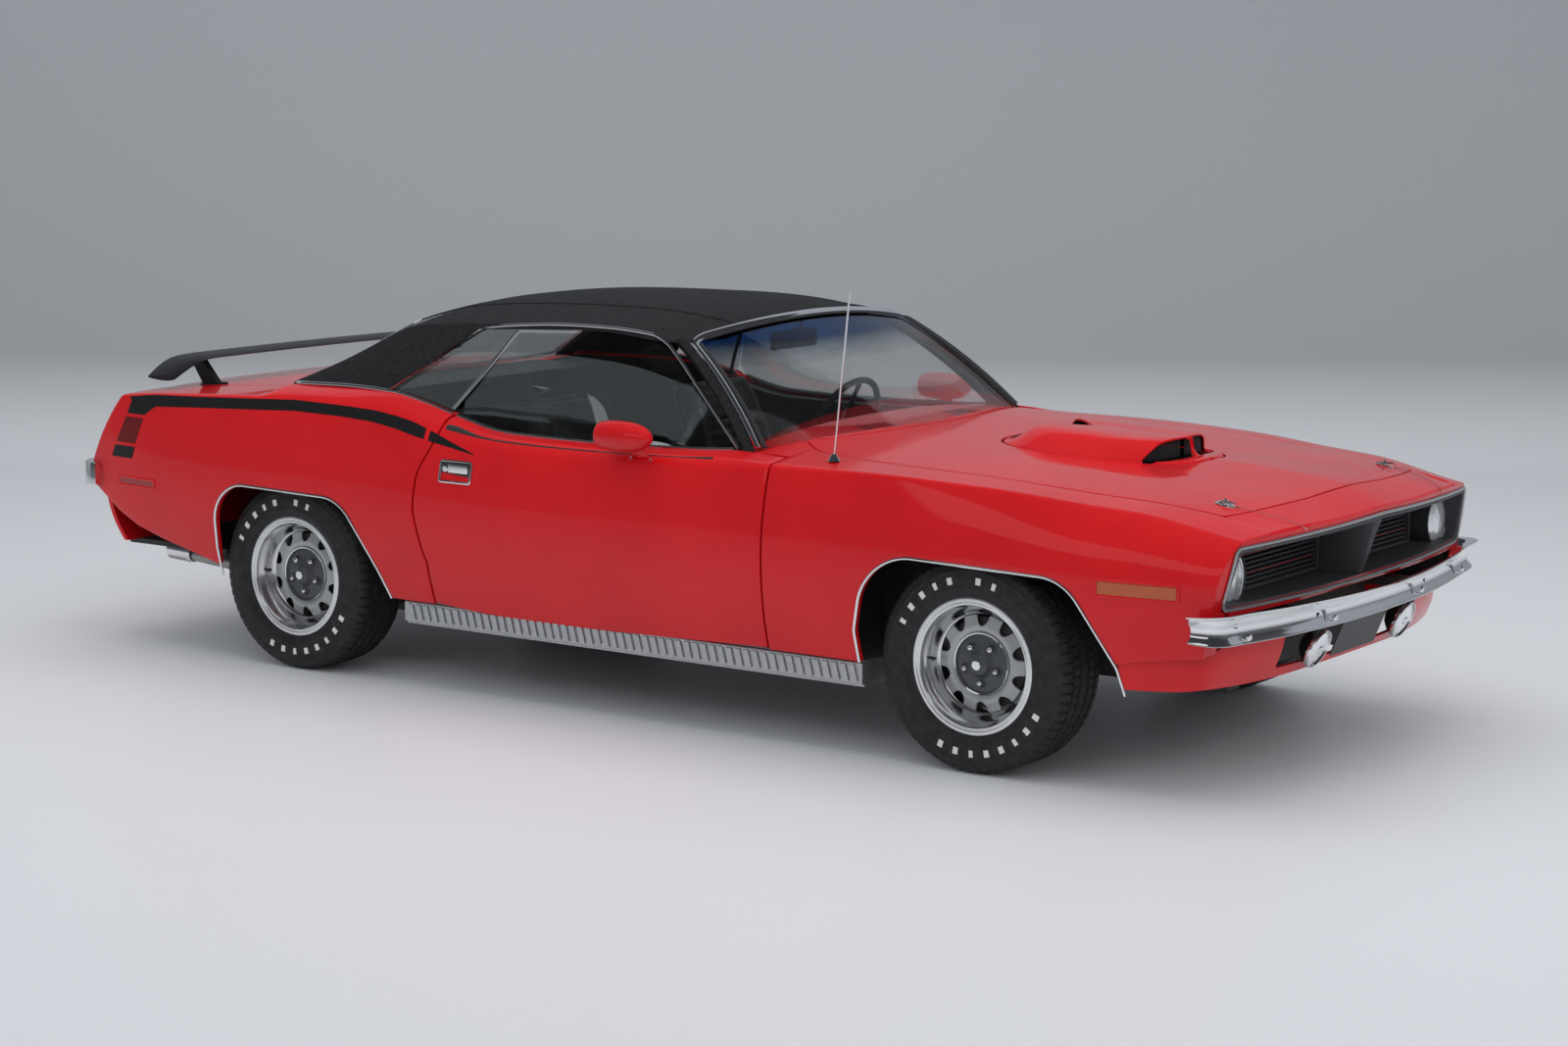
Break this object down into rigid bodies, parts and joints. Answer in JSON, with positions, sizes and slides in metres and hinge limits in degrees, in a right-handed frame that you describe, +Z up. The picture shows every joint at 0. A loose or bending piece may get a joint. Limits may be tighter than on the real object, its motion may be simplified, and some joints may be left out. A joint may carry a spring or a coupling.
{
  "type": "two-door muscle car",
  "caption": "Two-door hardtop muscle car with a hood scoop, rear wing, slotted wheels, opening doors, hood and deck lid, steering front wheels and rolling wheels.",
  "frame": {"origin": "on the ground, under the middle of the car's overall box", "axes": "+X forwards, +Y to the car's left, +Z up"},
  "size_m": [4.7361, 1.9738, 1.4052],
  "materials": {
    "red_paint": "gloss",
    "satin_black": "satin",
    "black_vinyl": "grained",
    "chrome": "polished",
    "silver_trim": "satin",
    "grille_plastic": "matte",
    "lamp_glass": "fluted",
    "tail_lens": "gloss",
    "window_glass": "clear",
    "wheel_silver": "satin",
    "tyre_rubber": "matte",
    "underbody": "matte",
    "forged_iron": "as cast",
    "seat_vinyl": "grained",
    "cabin_plastic": "grained",
    "pipe_steel": "brushed",
    "plate_dark": "satin"
  },
  "bodies": {
    "body": {"antenna": "chrome", "cowl": "red_paint", "dashboard": "cabin_plastic", "engine": "forged_iron", "engine_bay": "red_paint", "exhaust": "pipe_steel", "fender_left": "red_paint", "fender_right": "red_paint", "floor_pan": "underbody", "front_bumper": "chrome", "front_seats": "seat_vinyl", "front_suspension": "underbody", "front_valance": "red_paint", "fuel_tank": "underbody", "grille": "grille_plastic", "headlamps": "lamp_glass", "nose": "red_paint", "number_plates": "plate_dark", "quarter_glass": "window_glass", "quarter_left": "red_paint", "quarter_right": "red_paint", "rear_axle": "forged_iron", "rear_bumper": "chrome", "rear_deck": "red_paint", "rear_glass": "window_glass", "rear_seat": "seat_vinyl", "road_lamps": "chrome", "roof": "black_vinyl", "scoop": "red_paint", "sills": "silver_trim", "tail_lamps": "tail_lens", "tail_panel": "red_paint", "windshield": "window_glass"},
    "hood": {"hood": "red_paint"},
    "deck": {"deck_lid": "red_paint", "wing": "satin_black"},
    "left_door": {"door_left": "red_paint", "door_glass_left": "window_glass"},
    "right_door": {"door_right": "red_paint", "door_glass_right": "window_glass"},
    "left_knuckle": {"knuckle_left": "forged_iron"},
    "right_knuckle": {"knuckle_right": "forged_iron"},
    "front_left_wheel": {"rim_front_left": "wheel_silver", "tyre_front_left": "tyre_rubber"},
    "front_right_wheel": {"rim_front_right": "wheel_silver", "tyre_front_right": "tyre_rubber"},
    "rear_left_wheel": {"rim_rear_left": "wheel_silver", "tyre_rear_left": "tyre_rubber"},
    "rear_right_wheel": {"rim_rear_right": "wheel_silver", "tyre_rear_right": "tyre_rubber"},
    "steering": {"steering_wheel": "cabin_plastic"}
  },
  "joints": [
    {"name": "hood_hinge", "type": "hinge", "parent": "body", "child": "hood", "pos_m": [0.6287, 0, 0.912], "axis": [0, -1, 0], "range_deg": [0, 50]},
    {"name": "deck_hinge", "type": "hinge", "parent": "body", "child": "deck", "pos_m": [-1.4493, 0, 0.962], "axis": [0, 1, 0], "range_deg": [0, 60]},
    {"name": "left_door_hinge", "type": "hinge", "parent": "body", "child": "left_door", "pos_m": [0.6807, 0.93, 0.6], "axis": [0, 0, -1], "range_deg": [0, 60]},
    {"name": "right_door_hinge", "type": "hinge", "parent": "body", "child": "right_door", "pos_m": [0.6807, -0.93, 0.6], "axis": [0, 0, 1], "range_deg": [0, 60]},
    {"name": "left_steer", "type": "hinge", "parent": "body", "child": "left_knuckle", "pos_m": [1.4287, 0.7, 0.326], "axis": [0, 0, 1], "range_deg": [-33, 33]},
    {"name": "right_steer", "type": "hinge", "parent": "body", "child": "right_knuckle", "pos_m": [1.4287, -0.7, 0.326], "axis": [0, 0, 1], "range_deg": [-33, 33]},
    {"name": "steering_turn", "type": "hinge", "parent": "body", "child": "steering", "pos_m": [0.1157, 0.37, 0.823], "axis": [-0.9063, 0, 0.4226], "range_deg": [-540, 540]},
    {"name": "front_left_roll", "type": "hinge", "parent": "left_knuckle", "child": "front_left_wheel", "pos_m": [1.4287, 0.765, 0.326], "axis": [0, 1, 0], "continuous": true},
    {"name": "front_right_roll", "type": "hinge", "parent": "right_knuckle", "child": "front_right_wheel", "pos_m": [1.4287, -0.765, 0.326], "axis": [0, 1, 0], "continuous": true},
    {"name": "rear_left_roll", "type": "hinge", "parent": "body", "child": "rear_left_wheel", "pos_m": [-1.3143, 0.772, 0.326], "axis": [0, 1, 0], "continuous": true},
    {"name": "rear_right_roll", "type": "hinge", "parent": "body", "child": "rear_right_wheel", "pos_m": [-1.3143, -0.772, 0.326], "axis": [0, 1, 0], "continuous": true}
  ],
  "couplings": [
    {"joint": "right_steer", "follows": "left_steer", "ratio": 1},
    {"joint": "steering_turn", "follows": "left_steer", "ratio": 16}
  ]
}
